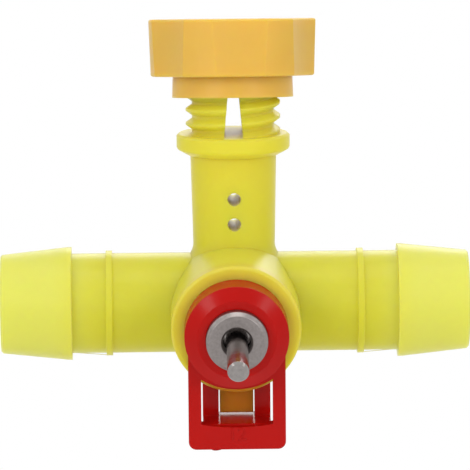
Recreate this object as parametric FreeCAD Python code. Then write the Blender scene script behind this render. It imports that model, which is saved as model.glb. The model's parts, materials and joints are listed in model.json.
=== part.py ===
import FreeCAD
import Part
import math
import os

# Poultry nipple drinker: a barbed hose tee with a slotted screw stud that grips a cage wire, and a
# snap-in nipple valve. All lengths are in millimetres and all angles in degrees.
# Origin: where the axis of the hose pipe crosses the axis of the post.
# +X runs along the hose pipe, +Z up the post, and the nipple points along -Y, a little downwards.

V = FreeCAD.Vector

# ---------------------------------------------------------------- driving dimensions
# Hose pipe with a barb at each end
pipe_half_length = 30.0
pipe_outer_d = 12.8
water_bore_d = 9.6
barb_length = 9.1
barb_rim_d = 14.5
barb_tip_d = 12.7
barb_rim_land = 0.5
stop_ring_at = 16.1
stop_ring_d = 13.5
stop_ring_width = 0.8
pipe_edge_round = 0.25

# Post
post_base_d = 10.5
post_top_d = 11.0
post_flare_r = 1.6
cross_hole_d = 1.7
cross_hole_low_z = 10.7
cross_hole_pitch = 3.25

# Collar that the cage wire rests on
collar_bottom_z = 19.2
collar_height = 2.7
collar_d = 14.5
collar_underside = 0.7
collar_round = 0.3

# Slotted stud with a coarse thread
stud_height = 7.7
thread_root_d = 10.5
thread_crest_d = 12.1
thread_pitch = 1.8
thread_crest_land = 0.3
thread_root_land = 0.35
thread_start = 2.3
thread_past = 0.1
seam_steps = 9
stud_lead_in = 0.9
stud_lead_step = 0.2
slot_floor_width = 2.4
slot_mouth_width = 1.0

# Screw cap: knob with six lobes above a plain skirt
wire_gap = 4.6
skirt_height = 2.7
skirt_bottom_d = 15.5
skirt_top_d = 15.3
knob_height = 7.3
knob_bottom_d = 20.9
knob_top_d = 21.4
knob_lobes = 6
knob_lobe_angle = 21.0
knob_first_lobe = -25.0
knob_flute_depth = 0.95
knob_round = 0.3
cap_roof = 2.2
cap_thread_clearance = 0.22
cap_lean = 6.0

# Boss that the nipple plugs into
boss_cant = 6.0
boss_d = 16.5
boss_root = 1.5
boss_reach = 13.7
boss_rim_round = 0.4
socket_d = 10.2
socket_floor = 6.2
inlet_d = 5.0

# Latch: a notch behind the boss's rim, keyed by a rib, that the housing's catch plate springs into
notch_depth = 2.2
notch_width = 9.2
notch_rim = 2.5
notch_length = 2.2
key_rib_width = 4.25
key_rib_drop = 11.6
latch_clearance = 0.15
catch_hook = 1.75

# Nipple housing
plug_clearance = 0.1
flange_seat_gap = 0.1
flange_d = 13.2
flange_length = 3.55
nose_bevel_d = 10.05
nose_bevel_length = 1.1
plug_lead = 0.4

# Latch frame of the housing
frame_width = 12.3
frame_thickness = 1.6
frame_drop = 15.2
frame_corner_r = 1.0
window_width = 9.05
window_top = 7.3
window_top_r = 8.6
window_bottom = 12.3
window_bottom_r = 26.0
shelf_drop = 12.05
catch_width = 8.6
catch_slot_width = 4.55
shelf_thickness = 1.5

# Steel seat insert
insert_d = 7.8
insert_stand_out = 1.45
insert_length = 8.8
insert_chamfer = 0.45
chamber_d = 5.8
exit_hole_d = 3.56
exit_hole_length = 1.85
exit_lip = 0.25
press_gap = 0.02

# Rubber seat ring and needle
seat_ring_length = 1.4
orifice_d = 2.4
orifice_cone = 0.5
needle_shank_d = 1.8
needle_head_d = 3.9
needle_head_length = 1.2
needle_head_edge = 0.3
needle_chamber_d = 6.4
needle_chamber_length = 1.2
needle_seat_gap = 0.05

# Trigger pin
pin_d = 2.73
pin_head_d = 4.6
pin_head_edge = 0.2
pin_head_length = 1.35
pin_head_gap = 0.35
pin_reach = 11.0
pin_droop = 7.0
pin_tip_chamfer = 0.25
pin_needle_gap = 0.05

# Plug's rubber ring and strainer
o_ring_section = 0.88
o_ring_gap = 0.01
o_ring_sides = 8
o_ring_groove_width = 1.6
o_ring_from_seat = 0.1
strainer_d = 7.2
strainer_length = 1.2
strainer_plate = 0.7
strainer_hole_d = 1.0
strainer_holes = 6
strainer_rim = 0.7

# ---------------------------------------------------------------- sizes that follow from those
pipe_r = pipe_outer_d / 2
boss_r = boss_d / 2
collar_top_z = collar_bottom_z + collar_height
stud_top_z = collar_top_z + stud_height
skirt_bottom_z = collar_top_z + wire_gap
knob_bottom_z = skirt_bottom_z + skirt_height
knob_top_z = knob_bottom_z + knob_height
cap_bore_d = thread_crest_d + 2 * cap_thread_clearance
cap_pivot_z = (skirt_bottom_z + stud_top_z) / 2

# Stations along the nipple's axis, measured from the pipe's axis towards the outlet
plug_d = socket_d - 2 * plug_clearance
plug_rear = socket_floor + plug_clearance
flange_rear = boss_reach + flange_seat_gap
flange_front = flange_rear + flange_length
nose_front = flange_front + nose_bevel_length
insert_front = nose_front + insert_stand_out
insert_rear = insert_front - insert_length
lower_seat = insert_front - exit_hole_length
seat_ring_rear = insert_rear - seat_ring_length
needle_chamber_rear = seat_ring_rear - needle_chamber_length
pin_pivot = lower_seat - pin_head_gap
o_ring_bed_d = socket_d - 2 * o_ring_section - 4 * o_ring_gap
o_ring_middle = seat_ring_rear - o_ring_from_seat - o_ring_groove_width / 2
frame_rear = boss_reach + latch_clearance
frame_front = frame_rear + frame_thickness
notch_front = boss_reach - notch_rim
notch_rear = notch_front - notch_length
catch_front = notch_front - latch_clearance
catch_rear = notch_rear + latch_clearance
notch_top = boss_r - notch_depth
catch_top = boss_r - catch_hook


# ---------------------------------------------------------------- helpers
def cylinder(diameter, start, end):
    """Round bar along +Z between two heights."""
    return Part.makeCylinder(diameter / 2, end - start, V(0, 0, start))


def block(width, low_y, high_y, low_z, high_z):
    """Rectangular block centred on X."""
    return Part.makeBox(width, high_y - low_y, high_z - low_z, V(-width / 2, low_y, low_z))


def revolved(profile):
    """Solid turned from a closed profile of (radius, height) points about +Z."""
    points = [V(radius, 0, height) for radius, height in profile]
    face = Part.Face(Part.makePolygon(points + points[:1]))
    return face.revolve(V(0, 0, 0), V(0, 0, 1), 360)


def along_pipe(shape):
    """Turn a shape built on +Z so that it lies on +X."""
    shape.rotate(V(0, 0, 0), V(0, 1, 0), 90)
    return shape


def along_nipple(shape):
    """Turn a shape built on +Z, with +Y as its upper side, onto the nipple's axis."""
    shape.rotate(V(0, 0, 0), V(1, 0, 0), 90 + boss_cant)
    return shape


# ---------------------------------------------------------------- yellow tee
def hose_pipe():
    """Pipe with a stop ring and a barb on each side, without its bore."""
    barb_rim_at = pipe_half_length - barb_length
    ring_in = stop_ring_at - stop_ring_width / 2
    ring_out = stop_ring_at + stop_ring_width / 2
    half = [
        (pipe_r, ring_in), (stop_ring_d / 2, ring_in), (stop_ring_d / 2, ring_out), (pipe_r, ring_out),
        (pipe_r, barb_rim_at), (barb_rim_d / 2, barb_rim_at),
        (barb_rim_d / 2, barb_rim_at + barb_rim_land),
        (barb_tip_d / 2, pipe_half_length - pipe_edge_round),
        (barb_tip_d / 2 - pipe_edge_round, pipe_half_length),
    ]
    mirrored = [(radius, -height) for radius, height in reversed(half)]
    profile = [(0, -pipe_half_length)] + mirrored + half + [(0, pipe_half_length)]
    return along_pipe(revolved(profile))


def post():
    """Upright post from the pipe's axis to the collar, flared where it leaves the pipe."""
    base_r = post_base_d / 2
    flare_top = pipe_r + post_flare_r
    root_r = base_r + post_flare_r * 0.6
    turn = math.sqrt(0.5)
    arc = Part.Arc(
        V(root_r, 0, pipe_r - post_flare_r * 0.4),
        V(base_r + (root_r - base_r) * (1 - turn) * 0.9, 0, pipe_r + post_flare_r * 0.15),
        V(base_r, 0, flare_top),
    ).toShape()
    lines = Part.makePolygon([
        V(base_r, 0, flare_top), V(post_top_d / 2, 0, collar_bottom_z), V(0, 0, collar_bottom_z),
        V(0, 0, 0), V(root_r, 0, 0), V(root_r, 0, pipe_r - post_flare_r * 0.4),
    ])
    return Part.Face(Part.Wire([arc] + lines.Edges)).revolve(V(0, 0, 0), V(0, 0, 1), 360)


def collar():
    """Collar with a coned underside and eased edges."""
    outer_r = collar_d / 2
    profile = [
        (0, collar_bottom_z), (post_top_d / 2 + collar_underside * 0.5, collar_bottom_z),
        (outer_r - collar_round * 0.5, collar_bottom_z + collar_underside),
        (outer_r, collar_bottom_z + collar_underside + collar_round),
        (outer_r, collar_top_z - collar_round), (outer_r - collar_round, collar_top_z), (0, collar_top_z),
    ]
    return revolved(profile)


def thread_groove(start_z):
    """Helical groove whose leftover is the stud's right-hand thread."""
    root_r = thread_root_d / 2
    crest_r = thread_crest_d / 2
    root_half = thread_root_land / 2
    crest_half = (thread_pitch - thread_crest_land) / 2
    past_r = crest_r + thread_past
    past_half = root_half + (crest_half - root_half) * (past_r - root_r) / (crest_r - root_r)
    section = Part.makePolygon([
        V(root_r, 0, -root_half), V(past_r, 0, -past_half), V(past_r, 0, past_half),
        V(root_r, 0, root_half), V(root_r, 0, -root_half),
    ])
    helix = Part.makeHelix(thread_pitch, stud_top_z + thread_pitch - start_z, root_r)
    groove = Part.Wire(helix.Edges).makePipeShell([section], True, True)
    groove.translate(V(0, 0, start_z))
    return groove


def grooved(bar, groove, groove_volume):
    """Bar less the groove. A cut can drop out where two seams cross, so the bar's seam is turned until
    what the cut takes away is the groove's own volume."""
    results = []
    for step in range(seam_steps):
        turned = bar.copy()
        turned.rotate(V(0, 0, 0), V(0, 0, 1), 290 + step * 360.0 / seam_steps)
        result = turned.cut(groove)
        miss = abs(bar.Volume - result.Volume - groove_volume)
        if miss < 0.05 * groove_volume:
            return result
        results.append((miss, step, result))
    return min(results)[2]


def stud():
    """Threaded stud above the collar, with a lead-in at its top, before it is slotted."""
    root_r = thread_root_d / 2
    crest_r = thread_crest_d / 2
    bottom_z = collar_top_z - thread_pitch
    bar = revolved([
        (0, bottom_z), (crest_r, bottom_z), (crest_r, stud_top_z - stud_lead_in),
        (root_r - stud_lead_step, stud_top_z), (0, stud_top_z),
    ])
    groove_area = (crest_r - root_r) * (thread_root_land + thread_pitch - thread_crest_land) / 2
    turns = (stud_top_z - bottom_z - stud_lead_in / 2) / thread_pitch
    groove_volume = groove_area * turns * math.pi * (root_r + crest_r)
    return grooved(bar, thread_groove(collar_top_z - thread_start * thread_pitch), groove_volume)


def wire_slot():
    """Slot from front to back through the stud, open at the top, whose walls lean together."""
    past = collar_d
    floor = slot_floor_width / 2
    lean = (slot_floor_width - slot_mouth_width) / 2 / stud_height
    mouth = floor - lean * (stud_height + 1)
    section = Part.makePolygon([
        V(-floor, -past, collar_top_z), V(floor, -past, collar_top_z),
        V(mouth, -past, stud_top_z + 1), V(-mouth, -past, stud_top_z + 1), V(-floor, -past, collar_top_z),
    ])
    return Part.Face(section).extrude(V(0, 2 * past, 0))


def boss():
    """Round boss on the nipple's axis, solid, with an eased rim."""
    bar = cylinder(boss_d, boss_root, boss_reach)
    rim = [edge for edge in bar.Edges if edge.BoundBox.ZMin > boss_reach - boss_rim_round]
    return along_nipple(bar.makeFillet(boss_rim_round, rim))


def key_rib():
    """Rib under the boss that the latch's slot straddles, sloping back to the pipe."""
    side = Part.makePolygon([
        V(0, 0, 0), V(0, -key_rib_drop, notch_rear), V(0, -key_rib_drop, catch_front),
        V(0, 0, catch_front), V(0, 0, 0),
    ])
    rib = Part.Face(side).extrude(V(key_rib_width, 0, 0))
    rib.translate(V(-key_rib_width / 2, 0, 0))
    return along_nipple(rib)


def latch_notch():
    """Pocket cut in the boss's underside behind its rim, on both sides of the key rib."""
    side_width = (notch_width - key_rib_width) / 2
    pocket = block(side_width, -boss_r - 1, -notch_top, notch_rear, notch_front)
    left = pocket.copy()
    left.translate(V(-(key_rib_width + side_width) / 2, 0, 0))
    pocket.translate(V((key_rib_width + side_width) / 2, 0, 0))
    return along_nipple(Part.Compound([left, pocket]))


def tee_body():
    """Yellow moulding: pipe, post, collar, slotted stud, boss and key rib in one piece."""
    solid = hose_pipe().fuse([post(), collar(), stud(), boss(), key_rib()])
    bore = along_pipe(cylinder(water_bore_d, -pipe_half_length - 1, pipe_half_length + 1))
    socket = along_nipple(cylinder(socket_d, socket_floor, boss_reach + 1))
    inlet = along_nipple(cylinder(inlet_d, 0, socket_floor + 1))
    cuts = [bore, socket, inlet, wire_slot(), latch_notch()]
    for row in range(2):
        hole_z = cross_hole_low_z + row * cross_hole_pitch
        cuts.append(Part.makeCylinder(cross_hole_d / 2, 2 * post_top_d, V(0, -post_top_d, hole_z), V(0, 1, 0)))
    return solid.cut(cuts).removeSplitter()


# ---------------------------------------------------------------- screw cap
def knob_hollows():
    """Six shallow round hollows that leave the lobes standing between them."""
    half_angle = math.radians((360.0 / knob_lobes - knob_lobe_angle) / 2)
    rim_r = knob_top_d / 2
    half_chord = rim_r * math.sin(half_angle)
    sagitta = knob_flute_depth - rim_r * (1 - math.cos(half_angle))
    hollow_r = (half_chord ** 2 + sagitta ** 2) / (2 * sagitta)
    centre = rim_r - knob_flute_depth + hollow_r
    cutters = []
    for index in range(knob_lobes):
        # Lobe angles are counted from -Y towards +X.
        middle = knob_first_lobe + (index + 0.5) * 360.0 / knob_lobes
        cutter = cylinder(2 * hollow_r, knob_bottom_z - 1, knob_top_z + 1)
        cutter.translate(V(0, -centre, 0))
        cutter.rotate(V(0, 0, 0), V(0, 0, 1), middle)
        cutters.append(cutter)
    return cutters


def screw_cap():
    """Cap in one moulding: lobed knob, plain skirt and a bore that clears the thread's crests.

    It is only started on the thread, so it leans back in the thread's play.
    """
    knob = Part.makeCone(knob_bottom_d / 2, knob_top_d / 2, knob_height, V(0, 0, knob_bottom_z))
    knob = knob.cut(knob_hollows())
    rims = [edge for edge in knob.Edges if edge.BoundBox.ZLength < knob_round / 10]
    knob = knob.makeFillet(knob_round, rims)
    skirt = Part.makeCone(skirt_bottom_d / 2, skirt_top_d / 2, skirt_height + knob_round, V(0, 0, skirt_bottom_z))
    bore = cylinder(cap_bore_d, skirt_bottom_z - 1, knob_top_z - cap_roof)
    cap = knob.fuse(skirt).cut(bore).removeSplitter()
    cap.rotate(V(0, 0, cap_pivot_z), V(1, 0, 0), -cap_lean)
    return cap


# ---------------------------------------------------------------- red housing
def housing_body():
    """Turned part of the housing: plug, flange and bevelled nose, with the stepped bore."""
    plug_r = plug_d / 2
    flange_r = flange_d / 2
    solid = revolved([
        (0, plug_rear), (plug_r - plug_lead, plug_rear), (plug_r, plug_rear + plug_lead), (plug_r, flange_rear),
        (flange_r, flange_rear), (flange_r, flange_front), (nose_bevel_d / 2, nose_front), (0, nose_front),
    ])
    bores = [
        cylinder(insert_d + 2 * press_gap, seat_ring_rear, nose_front + 1),
        cylinder(needle_chamber_d, plug_rear, seat_ring_rear + 0.1),
        cylinder(strainer_d + 2 * press_gap, plug_rear - 1, plug_rear + strainer_length),
    ]
    half_groove = o_ring_groove_width / 2
    groove = cylinder(socket_d, o_ring_middle - half_groove, o_ring_middle + half_groove)
    groove = groove.cut(cylinder(o_ring_bed_d, plug_rear, boss_reach))
    return solid.cut(bores + [groove])


def arc_cut(width, edge_distance, radius, low, high, outward):
    """Cutter whose edge is an arc that bulges downwards, for the window's top or bottom edge."""
    centre = -edge_distance + radius
    disc = Part.makeCylinder(radius, high - low, V(0, centre, low))
    reach = block(width, -frame_drop - 2, 0, low, high)
    return reach.cut(disc) if outward else reach.common(disc)


def latch_frame():
    """Front plate with its window, the shelf behind it and the slotted catch plate."""
    plate = block(frame_width, -frame_drop, 0, frame_rear, frame_front)
    corners = [edge for edge in plate.Edges
               if edge.BoundBox.ZLength > frame_thickness / 2 and edge.CenterOfMass.y < -frame_drop + 0.1]
    plate = plate.makeFillet(frame_corner_r, corners)
    shelf_low = -shelf_drop - shelf_thickness
    shelf = block(catch_width, shelf_low, -shelf_drop, catch_rear, frame_rear + frame_thickness / 2)
    catch = block(catch_width, shelf_low, -catch_top, catch_rear, catch_front)
    slot = block(catch_slot_width, -shelf_drop, 0, catch_rear - 1, catch_front + 1)
    below_top = arc_cut(window_width, window_top, window_top_r, frame_rear - 1, frame_front + 1, True)
    above_bottom = arc_cut(window_width, window_bottom, window_bottom_r, frame_rear - 1, frame_front + 1, False)
    window = below_top.common(above_bottom)
    return plate.cut(window).fuse([shelf, catch.cut(slot)])


def nipple_housing():
    """Red moulding: housing and latch frame in one piece."""
    body = housing_body()
    frame = latch_frame().cut(cylinder(flange_d - 1, frame_rear - 1, frame_front + 1))
    return along_nipple(body.fuse(frame).removeSplitter())


# ---------------------------------------------------------------- valve
def seat_insert():
    """Steel barrel: pressed in the housing, with the lower seat and the exit hole at its front."""
    outer_r = insert_d / 2
    hole_r = exit_hole_d / 2
    return along_nipple(revolved([
        (chamber_d / 2, insert_rear), (outer_r, insert_rear), (outer_r, insert_front - insert_chamfer),
        (outer_r - insert_chamfer, insert_front), (hole_r + exit_lip, insert_front),
        (hole_r, insert_front - exit_lip), (hole_r, lower_seat), (chamber_d / 2, lower_seat),
    ]))


def valve_seat_ring():
    """Rubber ring held between the housing's shoulder and the insert, coned towards its orifice."""
    outer_r = insert_d / 2
    return along_nipple(revolved([
        (orifice_d / 2, seat_ring_rear), (outer_r, seat_ring_rear), (outer_r, insert_rear),
        (orifice_d / 2 + orifice_cone, insert_rear), (orifice_d / 2, insert_rear - orifice_cone),
    ]))


def valve_needle():
    """Upper pin: a head that closes the orifice and a shank that ends just above the trigger's head."""
    head_front = seat_ring_rear - needle_seat_gap
    shank_r = needle_shank_d / 2
    tilted = math.cos(math.radians(pin_droop))
    ball_at = pin_pivot - (pin_head_length + shank_r + pin_needle_gap) / tilted
    head_r = needle_head_d / 2
    head_rear = head_front - needle_head_length
    head = revolved([
        (0, head_rear), (head_r - needle_head_edge, head_rear), (head_r, head_rear + needle_head_edge),
        (head_r, head_front), (0, head_front),
    ])
    shank = cylinder(needle_shank_d, head_rear + needle_head_length / 2, ball_at)
    tail = Part.makeSphere(shank_r, V(0, 0, ball_at))
    return along_nipple(head.fuse([shank, tail]).removeSplitter())


def trigger_pin():
    """Pin with a round head behind the exit hole, drooping until its shank rests in the hole's mouth."""
    tip = pin_pivot + pin_reach
    head_r = pin_head_d / 2
    head_rear = pin_pivot - pin_head_length
    pin = revolved([
        (0, head_rear), (head_r - pin_head_edge, head_rear), (head_r, head_rear + pin_head_edge),
        (head_r, pin_pivot - pin_head_edge), (head_r - pin_head_edge, pin_pivot), (pin_d / 2, pin_pivot),
        (pin_d / 2, tip - pin_tip_chamfer), (pin_d / 2 - pin_tip_chamfer, tip), (0, tip),
    ])
    pin.rotate(V(0, 0, pin_pivot), V(1, 0, 0), pin_droop)
    return along_nipple(pin)


def plug_o_ring():
    """Rubber ring in the plug's groove, pressed flat where it meets the groove and the socket's wall."""
    flat_r = o_ring_section / 2
    corner_r = flat_r / math.cos(math.pi / o_ring_sides)
    middle_r = socket_d / 2 - flat_r - o_ring_gap
    profile = []
    for side in range(o_ring_sides):
        turn = (side + 0.5) * 2 * math.pi / o_ring_sides
        profile.append((middle_r + corner_r * math.cos(turn), o_ring_middle + corner_r * math.sin(turn)))
    return along_nipple(revolved(profile))


def strainer_cap():
    """Perforated cup pressed in the plug's inlet, open towards the needle."""
    front = plug_rear + strainer_length
    cup = cylinder(strainer_d, plug_rear, front)
    cup = cup.cut(cylinder(strainer_d - 2 * strainer_rim, plug_rear + strainer_plate, front + 1))
    holes = []
    for index in range(strainer_holes):
        hole = cylinder(strainer_hole_d, plug_rear - 1, front + 1)
        hole.translate(V(strainer_d / 2 - strainer_rim - strainer_hole_d, 0, 0))
        hole.rotate(V(0, 0, 0), V(0, 0, 1), index * 360.0 / strainer_holes)
        holes.append(hole)
    return along_nipple(cup.cut(holes))


PIECES = {
    "tee_body": tee_body,
    "screw_cap": screw_cap,
    "nipple_housing": nipple_housing,
    "seat_insert": seat_insert,
    "trigger_pin": trigger_pin,
    "valve_needle": valve_needle,
    "valve_seat_ring": valve_seat_ring,
    "plug_o_ring": plug_o_ring,
    "strainer_cap": strainer_cap,
}

os.makedirs("parts", exist_ok=True)
for name, build in PIECES.items():
    shape = build()
    print(name, "valid", shape.isValid(), "solids", len(shape.Solids), "volume", round(shape.Volume, 2))
    shape.exportStep("parts/" + name + ".step")
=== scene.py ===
"""Looks of a poultry nipple drinker: a moulded hose tee, its screw cap and a snap-in steel nipple.

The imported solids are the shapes. This file gives each of them the finish of the real material, adds the
fine moulding marks, and lights the drinker in a plain white studio. Lengths are in metres unless a name
ends in _mm.
"""

import json
import logging
import math
from dataclasses import dataclass, field
from enum import Enum
from typing import Any, Iterable

import bmesh
import bpy
from mathutils import Matrix, Vector


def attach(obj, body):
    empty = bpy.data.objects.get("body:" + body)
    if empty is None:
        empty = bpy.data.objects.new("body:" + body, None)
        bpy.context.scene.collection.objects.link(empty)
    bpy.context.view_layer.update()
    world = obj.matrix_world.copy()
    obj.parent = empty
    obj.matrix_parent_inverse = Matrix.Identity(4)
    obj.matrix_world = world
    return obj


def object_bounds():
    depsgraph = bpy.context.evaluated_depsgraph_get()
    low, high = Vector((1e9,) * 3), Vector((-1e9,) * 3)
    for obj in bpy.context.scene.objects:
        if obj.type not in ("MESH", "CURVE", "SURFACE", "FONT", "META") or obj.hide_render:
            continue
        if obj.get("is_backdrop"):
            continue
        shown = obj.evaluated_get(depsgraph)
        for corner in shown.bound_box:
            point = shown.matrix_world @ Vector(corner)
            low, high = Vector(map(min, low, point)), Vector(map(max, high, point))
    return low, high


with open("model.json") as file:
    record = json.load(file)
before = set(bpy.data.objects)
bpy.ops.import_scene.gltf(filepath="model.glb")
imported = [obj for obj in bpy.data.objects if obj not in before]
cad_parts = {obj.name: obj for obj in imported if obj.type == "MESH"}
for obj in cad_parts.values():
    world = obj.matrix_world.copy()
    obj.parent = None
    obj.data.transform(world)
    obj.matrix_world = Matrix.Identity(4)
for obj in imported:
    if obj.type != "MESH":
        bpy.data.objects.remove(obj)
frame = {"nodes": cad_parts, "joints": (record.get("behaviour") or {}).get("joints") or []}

MM = 0.001
EDGE_SAMPLES = 6
log = logging.getLogger("drinker")

Socket = bpy.types.NodeSocket
Colour = tuple[float, float, float, float]


class Body(str, Enum):
    """The bodies that the pieces ride on."""

    ROOT = "root"
    CAP = "cap"
    NEEDLE = "needle"
    TRIGGER = "trigger"


def linear(hex_colour: str) -> Colour:
    """Turns an sRGB hex colour into the linear colour that shaders work in.

    Args:
        hex_colour: Six hex digits, such as "d9d24e".

    Returns:
        Red, green, blue and an alpha of 1.
    """
    channels = [int(hex_colour[i:i + 2], 16) / 255 for i in (0, 2, 4)]
    linear_channels = [c / 12.92 if c <= 0.04045 else ((c + 0.055) / 1.055) ** 2.4 for c in channels]
    return (*linear_channels, 1.0)


def per_metre(size_mm: float) -> float:
    """The texture scale at which one cell of a pattern is size_mm across."""
    return 1 / (size_mm * MM)


def add_node(tree: bpy.types.NodeTree, kind: str, values: dict[Any, Any] | None = None,
             links: dict[Any, Socket] | None = None, **settings: Any) -> bpy.types.Node:
    """Adds one node with its settings, its constant inputs and its links.

    Args:
        tree: The node tree that gets the node.
        kind: Blender's name of the node type.
        values: Input names or numbers with their constants.
        links: Input names or numbers with the output sockets that feed them.
        **settings: Properties of the node itself.

    Returns:
        The new node.
    """
    node = tree.nodes.new(kind)
    for name, setting in settings.items():
        setattr(node, name, setting)
    for name, value in (values or {}).items():
        node.inputs[name].default_value = value
    for name, source in (links or {}).items():
        tree.links.new(source, node.inputs[name])
    return node


def empty_material(name: str) -> tuple[bpy.types.Material, bpy.types.NodeTree]:
    """Makes a material with a bare node tree.

    Args:
        name: The material's name.

    Returns:
        The material and its tree.
    """
    material = bpy.data.materials.new(name)
    material.use_nodes = True
    material.node_tree.nodes.clear()
    return material, material.node_tree


@dataclass(frozen=True)
class NippleAxis:
    """The canted line of the nipple: out along it, down across it, and X sideways."""

    out: Vector
    down: Vector

    @classmethod
    def from_frame(cls) -> "NippleAxis":
        """Reads the line from the needle's sliding joint, which points inwards."""
        push = next(joint for joint in frame["joints"] if joint["name"] == "valve_push")
        out = -Vector(push["axis"]).normalized()
        return cls(out, Vector((1, 0, 0)).cross(out))

    def point(self, sideways: float, along: float, below: float) -> Vector:
        """The point that lies sideways in X, along the line from the origin, and below the line."""
        return Vector((sideways, 0, 0)) + self.out * along + self.down * below

    def reach(self, node: str, below: float) -> float:
        """How far a node comes out along the line, where it lies further than `below` under it.

        Args:
            node: A node of the frame.
            below: Distance under the line, in metres.

        Returns:
            The largest distance along the line.
        """
        corners = (v.co for v in frame["nodes"][node].data.vertices)
        return max(co.dot(self.out) for co in corners if co.dot(self.down) > below)

    def depth(self, node: str) -> float:
        """How far a node comes down under the line."""
        return max(v.co.dot(self.down) for v in frame["nodes"][node].data.vertices)


class Fade(Enum):
    """How a patch of painted light or shade spreads over a moulding."""

    ALONG = "along a direction from the origin"
    BOTH_WAYS = "along a direction and against it"
    AROUND = "round a point"


@dataclass(frozen=True)
class PaintedLight:
    """A patch of painted light or shade: a second colour that fades in over a stretch of a moulding.

    `at` is the direction of the stretch or, for a fade round a point, that point in metres.
    """

    colour: str
    at: tuple[float, float, float]
    start_mm: float
    full_mm: float
    strength: float
    fade: Fade = Fade.ALONG


@dataclass(frozen=True)
class MouldedPlastic:
    """Injection-moulded plastic.

    Flow in the mould leaves soft clouds of colour, a polished mould leaves a satin skin with a fine
    grain, and light that enters the plastic comes out a little way off and softens the shades.
    """

    name: str
    colour: str
    cloud_colour: str
    roughness: float
    roughness_spread: float
    ior: float
    depth_mm: float
    depth_weight: float
    depth_colour: tuple[float, float, float]
    cloud_mm: float = 6.0
    grain_mm: float = 0.5
    grain_height_mm: float = 0.012
    wave_mm: float = 3.5
    wave_height_mm: float = 0.05
    edge_mm: float = 0.16
    specular: float = 0.5
    # Patches of painted light and shade that are laid over the colour.
    painted_lights: tuple[PaintedLight, ...] = ()

    def build(self) -> bpy.types.Material:
        """Makes the material.

        Returns:
            A material ready for a piece.
        """
        material, tree = empty_material(self.name)
        place = add_node(tree, "ShaderNodeTexCoord").outputs["Object"]
        clouds = add_node(tree, "ShaderNodeTexNoise", {"Scale": per_metre(self.cloud_mm), "Detail": 3.0},
                          {"Vector": place}).outputs["Fac"]
        colour = self._mix(tree, clouds, linear(self.colour), linear(self.cloud_colour))
        # Each patch of painted light or shade is blended into the colour in turn.
        for tint in self.painted_lights:
            colour = self._add_painted_light(tree, place, colour, tint)
        grain = add_node(tree, "ShaderNodeTexNoise", {"Scale": per_metre(self.grain_mm), "Detail": 2.0},
                         {"Vector": place}).outputs["Fac"]
        rough = add_node(tree, "ShaderNodeMapRange",
                         {"To Min": self.roughness - self.roughness_spread,
                          "To Max": self.roughness + self.roughness_spread},
                         {"Value": grain}).outputs["Result"]
        shader = add_node(
            tree, "ShaderNodeBsdfPrincipled",
            {"IOR": self.ior, "Specular IOR Level": self.specular, "Subsurface Weight": self.depth_weight,
             "Subsurface Scale": self.depth_mm * MM, "Subsurface Radius": self.depth_colour},
            {"Base Color": colour, "Roughness": rough, "Normal": self._skin(tree, place, grain)})
        add_node(tree, "ShaderNodeOutputMaterial", links={"Surface": shader.outputs["BSDF"]})
        return material

    def _mix(self, tree: bpy.types.NodeTree, factor: Socket, first: Colour | Socket,
             second: Colour) -> Socket:
        """Blends two colours.

        Args:
            tree: The material's tree.
            factor: 0 gives the first colour, 1 the second.
            first: A colour or the socket that carries one.
            second: The colour that is laid over it.

        Returns:
            The socket of the blended colour.
        """
        node = add_node(tree, "ShaderNodeMix", {7: second}, {0: factor}, data_type="RGBA")
        if isinstance(first, bpy.types.NodeSocket):
            tree.links.new(first, node.inputs[6])
        else:
            node.inputs[6].default_value = first
        return node.outputs[2]

    def _add_painted_light(self, tree: bpy.types.NodeTree, place: Socket, colour: Socket, tint: PaintedLight) -> Socket:
        """Fades a patch of painted light or shade in over its stretch of the moulding.

        Args:
            tree: The material's tree.
            place: The point on the piece, in metres.
            colour: The colour under the painted patch.
            tint: The patch of painted light or shade to lay over it.

        Returns:
            The socket of the colour with the painted light or shade.
        """
        operation = "DISTANCE" if tint.fade is Fade.AROUND else "DOT_PRODUCT"
        along = add_node(tree, "ShaderNodeVectorMath", {1: tint.at}, {0: place},
                         operation=operation).outputs["Value"]
        if tint.fade is Fade.BOTH_WAYS:
            along = add_node(tree, "ShaderNodeMath", links={0: along}, operation="ABSOLUTE").outputs[0]
        fade = add_node(tree, "ShaderNodeMapRange",
                        {"From Min": tint.start_mm * MM, "From Max": tint.full_mm * MM,
                         "To Max": tint.strength},
                        {"Value": along}, interpolation_type="SMOOTHSTEP").outputs["Result"]
        return self._mix(tree, fade, colour, linear(tint.colour))

    def _skin(self, tree: bpy.types.NodeTree, place: Socket, grain: Socket) -> Socket:
        """Makes one normal of softened edges, the sink waves of thick walls and the mould's grain.

        Args:
            tree: The material's tree.
            place: The point on the piece, in metres.
            grain: The height of the mould's grain.

        Returns:
            The socket of the normal.
        """
        edge = add_node(tree, "ShaderNodeBevel", {"Radius": self.edge_mm * MM},
                        samples=EDGE_SAMPLES).outputs["Normal"]
        waves = add_node(tree, "ShaderNodeTexNoise", {"Scale": per_metre(self.wave_mm), "Detail": 1.0},
                         {"Vector": place}).outputs["Fac"]
        sink = add_node(tree, "ShaderNodeBump", {"Distance": self.wave_height_mm * MM},
                        {"Height": waves, "Normal": edge}).outputs["Normal"]
        return add_node(tree, "ShaderNodeBump", {"Distance": self.grain_height_mm * MM},
                        {"Height": grain, "Normal": sink}).outputs["Normal"]


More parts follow.
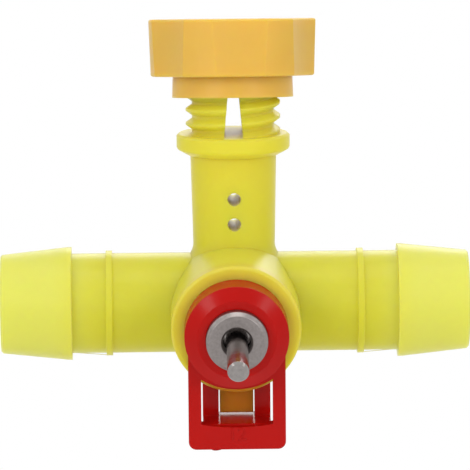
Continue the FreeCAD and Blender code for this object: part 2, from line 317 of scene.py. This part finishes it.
@dataclass(frozen=True)
class TurnedSteel:
    """Stainless steel turned on a lathe about the nipple's line.

    The tool leaves rings round the line, and tumbling afterwards breaks them into a dull mottle, so the
    face looks grey and soft while the edges still catch the lamps.
    """

    name: str
    colour: str
    dark_colour: str
    roughness: float
    axis: tuple[float, float, float]
    ring_mm: float = 0.22
    ring_height_mm: float = 0.004
    mottle_mm: float = 0.35
    mottle_height_mm: float = 0.01
    roughness_share: float = 0.3
    edge_mm: float = 0.08

    def build(self) -> bpy.types.Material:
        """Makes the material.

        Returns:
            A material ready for a piece.
        """
        material, tree = empty_material(self.name)
        place = add_node(tree, "ShaderNodeTexCoord").outputs["Object"]
        away = add_node(tree, "ShaderNodeVectorMath", {1: self.axis}, {0: place},
                        operation="CROSS_PRODUCT").outputs["Vector"]
        radius = add_node(tree, "ShaderNodeVectorMath", links={0: away},
                          operation="LENGTH").outputs["Value"]
        # The tool's rings are about 0.1 mm apart; they're drawn twice as coarse so that they show.
        rings = add_node(tree, "ShaderNodeTexNoise", {"Scale": per_metre(self.ring_mm), "Detail": 1.0},
                         {"W": radius}, noise_dimensions="1D").outputs["Fac"]
        mottle = add_node(tree, "ShaderNodeTexNoise", {"Scale": per_metre(self.mottle_mm), "Detail": 3.0},
                          {"Vector": place}).outputs["Fac"]
        colour = add_node(tree, "ShaderNodeMix", {6: linear(self.dark_colour), 7: linear(self.colour)},
                          {0: mottle}, data_type="RGBA").outputs[2]
        rough = add_node(tree, "ShaderNodeMapRange",
                         {"To Min": self.roughness * (1 - self.roughness_share),
                          "To Max": self.roughness * (1 + self.roughness_share)},
                         {"Value": mottle}).outputs["Result"]
        edge = add_node(tree, "ShaderNodeBevel", {"Radius": self.edge_mm * MM},
                        samples=EDGE_SAMPLES).outputs["Normal"]
        turned = add_node(tree, "ShaderNodeBump", {"Distance": self.ring_height_mm * MM},
                          {"Height": rings, "Normal": edge}).outputs["Normal"]
        dull = add_node(tree, "ShaderNodeBump", {"Distance": self.mottle_height_mm * MM},
                        {"Height": mottle, "Normal": turned}).outputs["Normal"]
        shader = add_node(tree, "ShaderNodeBsdfPrincipled", {"Metallic": 1.0},
                          {"Base Color": colour, "Roughness": rough, "Normal": dull})
        add_node(tree, "ShaderNodeOutputMaterial", links={"Surface": shader.outputs["BSDF"]})
        return material


@dataclass(frozen=True)
class SealRubber:
    """Black nitrile rubber, pressed in a mould: dull, with a faint bloom of talc."""

    name: str = "seal_rubber"
    colour: str = "1c1b1b"
    bloom_colour: str = "35332f"
    roughness: float = 0.62
    ior: float = 1.52
    bloom_mm: float = 0.8
    bloom_height_mm: float = 0.01

    def build(self) -> bpy.types.Material:
        """Makes the material.

        Returns:
            A material ready for a piece.
        """
        material, tree = empty_material(self.name)
        place = add_node(tree, "ShaderNodeTexCoord").outputs["Object"]
        bloom = add_node(tree, "ShaderNodeTexNoise", {"Scale": per_metre(self.bloom_mm), "Detail": 4.0},
                         {"Vector": place}).outputs["Fac"]
        colour = add_node(tree, "ShaderNodeMix", {6: linear(self.colour), 7: linear(self.bloom_colour)},
                          {0: bloom}, data_type="RGBA").outputs[2]
        bump = add_node(tree, "ShaderNodeBump", {"Distance": self.bloom_height_mm * MM},
                        {"Height": bloom}).outputs["Normal"]
        shader = add_node(tree, "ShaderNodeBsdfPrincipled", {"Roughness": self.roughness, "IOR": self.ior},
                          {"Base Color": colour, "Normal": bump})
        add_node(tree, "ShaderNodeOutputMaterial", links={"Surface": shader.outputs["BSDF"]})
        return material


def dress(node: str, material: bpy.types.Material) -> None:
    """Puts a material in every slot of a node of the frame.

    Args:
        node: The node's name.
        material: Its finish.
    """
    piece = frame["nodes"][node]
    if not piece.material_slots:
        piece.data.materials.append(material)
    for slot in piece.material_slots:
        slot.material = material
    log.info("dressed %s in %s", node, material.name)


def new_piece(name: str, mesh: bmesh.types.BMesh, material: bpy.types.Material, body: Body) -> None:
    """Turns a bmesh into a piece that rides on a body.

    Args:
        name: The piece's name.
        mesh: Its shape in the frame, in metres; it is freed here.
        material: Its finish.
        body: The body that it moves with.
    """
    bmesh.ops.recalc_face_normals(mesh, faces=mesh.faces)
    data = bpy.data.meshes.new(name)
    mesh.to_mesh(data)
    mesh.free()
    data.materials.append(material)
    piece = bpy.data.objects.new(name, data)
    bpy.context.scene.collection.objects.link(piece)
    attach(piece, body.value)
    log.info("built %s: %d faces", name, len(data.polygons))


def skin(mesh: bmesh.types.BMesh, sections: list[list[bmesh.types.BMVert]]) -> None:
    """Joins sections of equal corner count into one closed solid with an end face at each end.

    Args:
        mesh: The bmesh that holds the corners.
        sections: The corners of each section, in the same order round it.
    """
    for near, far in zip(sections, sections[1:]):
        for i, _ in enumerate(near):
            j = (i + 1) % len(near)
            mesh.faces.new((near[i], near[j], far[j], far[i]))
    mesh.faces.new(sections[0])
    mesh.faces.new(reversed(sections[-1]))


def swept_strip(mesh: bmesh.types.BMesh, path: list[Vector], across: Vector, outward: list[Vector],
                width: float, height: float) -> None:
    """Adds a low ridge of trapezoid section along a path on a surface.

    Args:
        mesh: The bmesh that gets the ridge.
        path: Points on the surface.
        across: Direction of the ridge's width.
        outward: Surface normal at each point.
        width: Width at the foot; the crest is half as wide.
        height: How proud the crest stands. The foot is sunk by as much.
    """
    sections = []
    for point, normal in zip(path, outward):
        foot, crest = point - normal * height, point + normal * height
        corners = (foot - across * width / 2, crest - across * width / 4,
                   crest + across * width / 4, foot + across * width / 2)
        sections.append([mesh.verts.new(corner) for corner in corners])
    skin(mesh, sections)


@dataclass
class HoseTee:
    """The yellow moulding: pipe with barbed ends, post with its threaded stud, and the nipple's boss.

    Two sizes place the middle of the painted shade and red reflection on the key rib along the nipple's
    line and below it.
    """

    seam_width: float = 0.16 * MM
    seam_height: float = 0.035 * MM
    seam_start: float = 9.5 * MM
    seam_plane: float = 0.001 * MM
    place_digits: int = 5
    painted_shade_along: float = 12.0 * MM
    painted_shade_below: float = 9.5 * MM
    body: Body = Body.ROOT
    slot: str = "yellow_polyethylene"

    def finish(self, nipple: NippleAxis) -> MouldedPlastic:
        """Low-density polyethylene, injection moulded.

        It is waxy and a little translucent. Its colour carries painted light and shade: a painted glow
        that makes the thin barbs paler, a painted orange bounce from the cap up the post, and painted
        shade with a red reflection of the housing on the boss's front ring and on the key rib under the
        latch.

        Args:
            nipple: The nipple's line, which the painted shade and red reflection follow.

        Returns:
            The tee's finish.
        """
        # Middle of the painted shade and red reflection on the key rib.
        latch = nipple.point(0, self.painted_shade_along, self.painted_shade_below)
        return MouldedPlastic(
            name="moulded_yellow_polyethylene", colour="dfd84a", cloud_colour="d8ce3e",
            roughness=0.32, roughness_spread=0.05, ior=1.51, specular=0.15,
            depth_mm=6.0, depth_weight=1.0, depth_colour=(1.0, 0.85, 0.25),
            painted_lights=(
                # Painted glow: the thin barb ends are made paler, standing in for light that passes
                # through their walls.
                PaintedLight("e2e26e", (1, 0, 0), 17.0, 24.0, 0.75, Fade.BOTH_WAYS),
                # Painted bounce light: the top of the post is warmed towards orange, standing in for light
                # thrown off the orange cap.
                PaintedLight("e6d848", (0, 0, 1), 8.0, 18.0, 0.55),
                # Painted shade and red reflection: the boss's front ring next to the red housing is
                # darkened and warmed.
                PaintedLight("d6be50", tuple(nipple.out), 10.5, 13.6, 0.6),
                # Painted shade and red reflection: the key rib under the latch is darkened to
                # orange-brown.
                PaintedLight("c06a18", tuple(latch), 6.5, 3.5, 0.85, Fade.AROUND),
            ))

    def build(self, nipple: NippleAxis) -> None:
        """Dresses the tee and adds the parting seam that its mould leaves.

        Args:
            nipple: The nipple's line.
        """
        material = self.finish(nipple).build()
        dress("tee_body", material)
        seam = bmesh.new()
        self._pipe_seams(seam)
        new_piece("tee_parting_seam", seam, material, self.body)

    def _pipe_seams(self, mesh: bmesh.types.BMesh) -> None:
        """Adds the mould's parting line, which runs along the pipe's underside to both ends.

        Args:
            mesh: The bmesh that gets both halves of the line.
        """
        outline = self._underside()
        for side in (-1, 1):
            path = [Vector((side * x, 0, -r)) for x, r in outline]
            swept_strip(mesh, path, Vector((0, 1, 0)), [Vector((0, 0, -1))] * len(path),
                        self.seam_width, self.seam_height)

    def _underside(self) -> list[tuple[float, float]]:
        """Distance from the middle and radius of the pipe, from beside the boss to one end.

        They are read off the node's corners in the parting plane. Where the outline steps, it holds
        both radii in the order in which the seam meets them.

        Returns:
            Pairs of distance and radius.
        """
        radii_at: dict[float, set[float]] = {}
        for vert in frame["nodes"]["tee_body"].data.vertices:
            co = vert.co
            if abs(co.y) < self.seam_plane and co.z < 0 and co.x > self.seam_start:
                x, radius = round(co.x, self.place_digits), round(-co.z, self.place_digits)
                radii_at.setdefault(x, set()).add(radius)
        outline: list[tuple[float, float]] = []
        for x, radii in sorted(radii_at.items()):
            outer = sorted(radii)[-2:]
            last = outline[-1][1] if outline else outer[-1]
            outline += [(x, r) for r in sorted(outer, key=lambda r: abs(r - last))]
        return outline


@dataclass
class ScrewCap:
    """The orange cap that clamps the drinker on its wire."""

    def finish(self) -> MouldedPlastic:
        """High-density polyethylene, injection moulded: stiffer and less translucent than the tee."""
        return MouldedPlastic(
            name="moulded_orange_polyethylene", colour="e6bd58", cloud_colour="e0b44c",
            roughness=0.36, roughness_spread=0.05, ior=1.53, specular=0.2,
            depth_mm=2.0, depth_weight=0.9, depth_colour=(1.0, 0.7, 0.25), edge_mm=0.2)

    def build(self) -> None:
        """Dresses the cap."""
        dress("screw_cap", self.finish().build())


@dataclass
class Nipple:
    """The red snap-in housing with its latch frame, and the steel valve in it."""

    number: str = "12"
    number_height: float = 1.65 * MM
    number_proud: float = 0.05 * MM
    number_above_edge: float = 1.2 * MM
    number_curve_steps: int = 6
    plate_foot: float = 1.5 * MM
    gate_width: float = 1.5 * MM
    gate_height: float = 0.25 * MM
    gate_lean: float = 0.25
    gate_sunk: float = 0.1 * MM
    gate_near: float = 0.4 * MM
    gate_far: float = 1.1 * MM
    gate_sections: int = 9
    gate_sideways: float = -2.6 * MM
    slot: str = "red_plastic"
    line: NippleAxis = field(default_factory=NippleAxis.from_frame)

    def housing_finish(self) -> MouldedPlastic:
        """Acrylonitrile butadiene styrene from a polished mould: opaque and glossy, so the lamps show."""
        return MouldedPlastic(
            name="moulded_red_abs", colour="ba0d07", cloud_colour="ae0a05",
            roughness=0.2, roughness_spread=0.04, ior=1.54, specular=0.12,
            depth_mm=0.5, depth_weight=0.1, depth_colour=(1.0, 0.2, 0.1),
            grain_height_mm=0.006, wave_height_mm=0.03)

    def strainer_finish(self) -> MouldedPlastic:
        """Natural polypropylene, injection moulded: milky and satin."""
        return MouldedPlastic(
            name="moulded_white_polypropylene", colour="dedcd2", cloud_colour="d3d1c6",
            roughness=0.42, roughness_spread=0.05, ior=1.49,
            depth_mm=1.0, depth_weight=0.3, depth_colour=(1.0, 0.9, 0.8))

    def build(self) -> None:
        """Dresses the housing and the valve, and adds the mould's marks on the frame."""
        red = self.housing_finish().build()
        axis = tuple(self.line.out)
        steel = TurnedSteel("turned_stainless_steel", "a39b98", "7a7472", 0.36, axis).build()
        pin_steel = TurnedSteel("drawn_stainless_rod", "a5a09d", "827d7b", 0.17, axis,
                                mottle_mm=0.5).build()
        rubber = SealRubber().build()
        strainer = self.strainer_finish().build()
        for node, material in (("nipple_housing", red), ("seat_insert", steel), ("valve_needle", steel),
                               ("trigger_pin", pin_steel), ("valve_seat_ring", rubber),
                               ("plug_o_ring", rubber), ("strainer_cap", strainer)):
            dress(node, material)
        self._cavity_number(red)
        self._gate_mark(red)

    def _frame_foot(self) -> tuple[float, float]:
        """Where the frame's front face lies along the line, and its lower edge below the line."""
        bottom = self.line.depth("nipple_housing")
        return self.line.reach("nipple_housing", bottom - self.plate_foot), bottom

    def _cavity_number(self, material: bpy.types.Material) -> None:
        """Raises the mould cavity's number a hair on the frame's front, below the window.

        Args:
            material: The housing's finish.
        """
        font = bpy.data.curves.new("cavity_number_outline", "FONT")
        font.body = self.number
        font.align_x = "CENTER"
        font.extrude = 1.0
        font.resolution_u = self.number_curve_steps
        outline = bpy.data.objects.new("cavity_number_outline", font)
        bpy.context.scene.collection.objects.link(outline)
        depsgraph = bpy.context.evaluated_depsgraph_get()
        text = bpy.data.meshes.new_from_object(outline.evaluated_get(depsgraph))
        bpy.data.objects.remove(outline)
        tall = max(v.co.y for v in text.vertices)
        mesh = bmesh.new()
        mesh.from_mesh(text)
        front, bottom = self._frame_foot()
        scale = self.number_height / tall
        for vert in mesh.verts:
            vert.co = self.line.point(vert.co.x * scale, front + vert.co.z * self.number_proud,
                                      bottom - self.number_above_edge - vert.co.y * scale)
        bmesh.ops.dissolve_limit(mesh, angle_limit=math.radians(1), verts=mesh.verts, edges=mesh.edges)
        new_piece("cavity_number", mesh, material, Body.ROOT)

    def _gate_mark(self, material: bpy.types.Material) -> None:
        """Adds the stub where the frame was broken off its runner, on the frame's lower edge.

        Args:
            material: The housing's finish.
        """
        front, bottom = self._frame_foot()
        mesh = bmesh.new()
        sections = []
        for i in range(self.gate_sections):
            # The share runs from -1 to 1 across the stub, which is rounded and a little lopsided.
            share = 2 * i / (self.gate_sections - 1) - 1
            sideways = self.gate_sideways + share * self.gate_width / 2
            drop = self.gate_height * math.sqrt(max(0.0, 1 - share ** 2)) * (1 - self.gate_lean * share)
            sections.append([mesh.verts.new(self.line.point(sideways, front - depth, below))
                             for depth, below in ((self.gate_near, bottom - self.gate_sunk),
                                                  (self.gate_near, bottom + drop),
                                                  (self.gate_far, bottom + drop),
                                                  (self.gate_far, bottom - self.gate_sunk))])
        skin(mesh, sections)
        new_piece("frame_gate_mark", mesh, material, Body.ROOT)


@dataclass(frozen=True)
class SoftLamp:
    """A square soft box that looks at the drinker from an azimuth and elevation in degrees."""

    name: str
    azimuth: float
    elevation: float
    distance: float
    size: float
    watts: float

    def build(self, aim: Vector) -> None:
        """Hangs the lamp.

        Args:
            aim: The point that it is turned to.
        """
        data = bpy.data.lights.new(self.name, "AREA")
        data.shape = "SQUARE"
        data.size = self.size
        data.energy = self.watts
        lamp = bpy.data.objects.new(self.name, data)
        back = direction(self.azimuth, self.elevation)
        lamp.location = aim + back * self.distance
        lamp.rotation_euler = back.to_track_quat("Z", "Y").to_euler()
        bpy.context.scene.collection.objects.link(lamp)
        log.info("hung %s", self.name)


def direction(azimuth: float, elevation: float) -> Vector:
    """The way from the drinker to a place round it.

    Args:
        azimuth: Degrees round the drinker, from straight in front towards +X.
        elevation: Degrees above the level.

    Returns:
        A vector of length 1.
    """
    a, e = math.radians(azimuth), math.radians(elevation)
    return Vector((math.sin(a) * math.cos(e), -math.cos(a) * math.cos(e), math.sin(e)))


@dataclass
class Studio:
    """White surroundings, soft lamps and the camera."""

    floor_drop: float = 0.12
    floor_size: float = 6.0
    paper_colour: str = "f2f2f1"
    fibre_colour: str = "f6f6f6"
    paper_roughness: float = 0.9
    fibre_mm: float = 4.0
    ambient: float = 0.42
    aim: Vector = field(default_factory=lambda: Vector((0.15, 1.26, 8.45)) * MM)
    camera_azimuth: float = -0.8
    camera_elevation: float = 8.5
    camera_distance: float = 0.7
    camera_roll: float = 0.54
    lens_mm: float = 416.9
    sensor_mm: float = 36.0
    lamps: tuple[SoftLamp, ...] = (
        SoftLamp("left_soft_box", -38, 22, 0.8, 0.35, 2.1),
        SoftLamp("right_soft_box", 40, 20, 0.8, 0.35, 1.8),
        SoftLamp("top_soft_box", 0, 75, 0.8, 0.45, 1.4),
        SoftLamp("back_soft_box", 170, 30, 0.8, 0.45, 1.6),
    )

    def build(self) -> None:
        """Sets up the whole studio."""
        scene = bpy.context.scene
        scene.view_settings.view_transform = "Standard"
        self._world(scene)
        self._floor()
        for lamp in self.lamps:
            lamp.build(self.aim)
        scene.camera = self._camera(scene)

    def _seen_white(self, tree: bpy.types.NodeTree) -> Socket:
        """Tells rays that show the surroundings from rays that light the drinker.

        Args:
            tree: The tree that asks.

        Returns:
            A socket of 1 for camera rays and reflected or refracted ones, and 0 for the rest.
        """
        path = add_node(tree, "ShaderNodeLightPath")
        seen = path.outputs["Is Camera Ray"]
        for ray in ("Is Glossy Ray", "Is Transmission Ray"):
            seen = add_node(tree, "ShaderNodeMath", links={0: seen, 1: path.outputs[ray]},
                            operation="MAXIMUM").outputs[0]
        return seen

    def _world(self, scene: bpy.types.Scene) -> None:
        """Adds a world that looks white and lights the drinker evenly from all round.

        Args:
            scene: The scene that gets it.
        """
        world = bpy.data.worlds.new("white_studio")
        world.use_nodes = True
        tree = world.node_tree
        tree.nodes.clear()
        strength = add_node(tree, "ShaderNodeMapRange", {"To Min": self.ambient, "To Max": 1.0},
                            {"Value": self._seen_white(tree)}).outputs["Result"]
        light = add_node(tree, "ShaderNodeBackground", {"Color": (1, 1, 1, 1)}, {"Strength": strength})
        add_node(tree, "ShaderNodeOutputWorld", links={"Surface": light.outputs["Background"]})
        scene.world = world

    def _floor(self) -> None:
        """Lays a white floor well below the hanging drinker; it looks white and still takes the shadow."""
        low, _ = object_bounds()
        material, tree = empty_material("white_paper_floor")
        fibres = add_node(tree, "ShaderNodeTexNoise",
                          {"Scale": per_metre(self.fibre_mm), "Detail": 2.0}).outputs["Fac"]
        tone = add_node(tree, "ShaderNodeMix",
                        {6: linear(self.paper_colour), 7: linear(self.fibre_colour)}, {0: fibres},
                        data_type="RGBA").outputs[2]
        paper = add_node(tree, "ShaderNodeBsdfPrincipled", {"Roughness": self.paper_roughness},
                         {"Base Color": tone})
        glow = add_node(tree, "ShaderNodeEmission", {"Strength": 1.0})
        seen = add_node(tree, "ShaderNodeMixShader",
                        links={0: self._seen_white(tree), 1: paper.outputs[0], 2: glow.outputs[0]})
        # The underside is clear, so that the floor doesn't hide the drinker from below.
        clear = add_node(tree, "ShaderNodeBsdfTransparent")
        below = add_node(tree, "ShaderNodeNewGeometry").outputs["Backfacing"]
        one_sided = add_node(tree, "ShaderNodeMixShader",
                             links={0: below, 1: seen.outputs[0], 2: clear.outputs[0]})
        add_node(tree, "ShaderNodeOutputMaterial", links={"Surface": one_sided.outputs[0]})
        mesh = bmesh.new()
        bmesh.ops.create_grid(mesh, x_segments=1, y_segments=1, size=self.floor_size / 2)
        data = bpy.data.meshes.new("studio_floor")
        mesh.to_mesh(data)
        mesh.free()
        data.materials.append(material)
        floor = bpy.data.objects.new("studio_floor", data)
        floor.location = (0, 0, low[2] - self.floor_drop)
        bpy.context.scene.collection.objects.link(floor)
        floor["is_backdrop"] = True
        log.info("laid studio_floor")

    def _camera(self, scene: bpy.types.Scene) -> bpy.types.Object:
        """Places the camera, rolled slightly about its own line of sight.

        Args:
            scene: The scene that it stands in.

        Returns:
            The camera.
        """
        data = bpy.data.cameras.new("camera")
        data.lens = self.lens_mm
        data.sensor_width = self.sensor_mm
        camera = bpy.data.objects.new("camera", data)
        back = direction(self.camera_azimuth, self.camera_elevation)
        right = Vector((0, 0, 1)).cross(back).normalized()
        up = back.cross(right)
        turn = Matrix.Rotation(math.radians(-self.camera_roll), 3, back)
        axes = Matrix((turn @ right, turn @ up, back)).transposed().to_4x4()
        camera.matrix_world = Matrix.Translation(self.aim + back * self.camera_distance) @ axes
        scene.collection.objects.link(camera)
        return camera


def main() -> None:
    """Builds and dresses the drinker and its studio, in order."""
    logging.basicConfig(level=logging.INFO, format="%(name)s: %(message)s")
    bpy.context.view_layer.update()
    nipple = Nipple()
    HoseTee().build(nipple.line)
    ScrewCap().build()
    nipple.build()
    Studio().build()


if __name__ == "__main__":
    main()
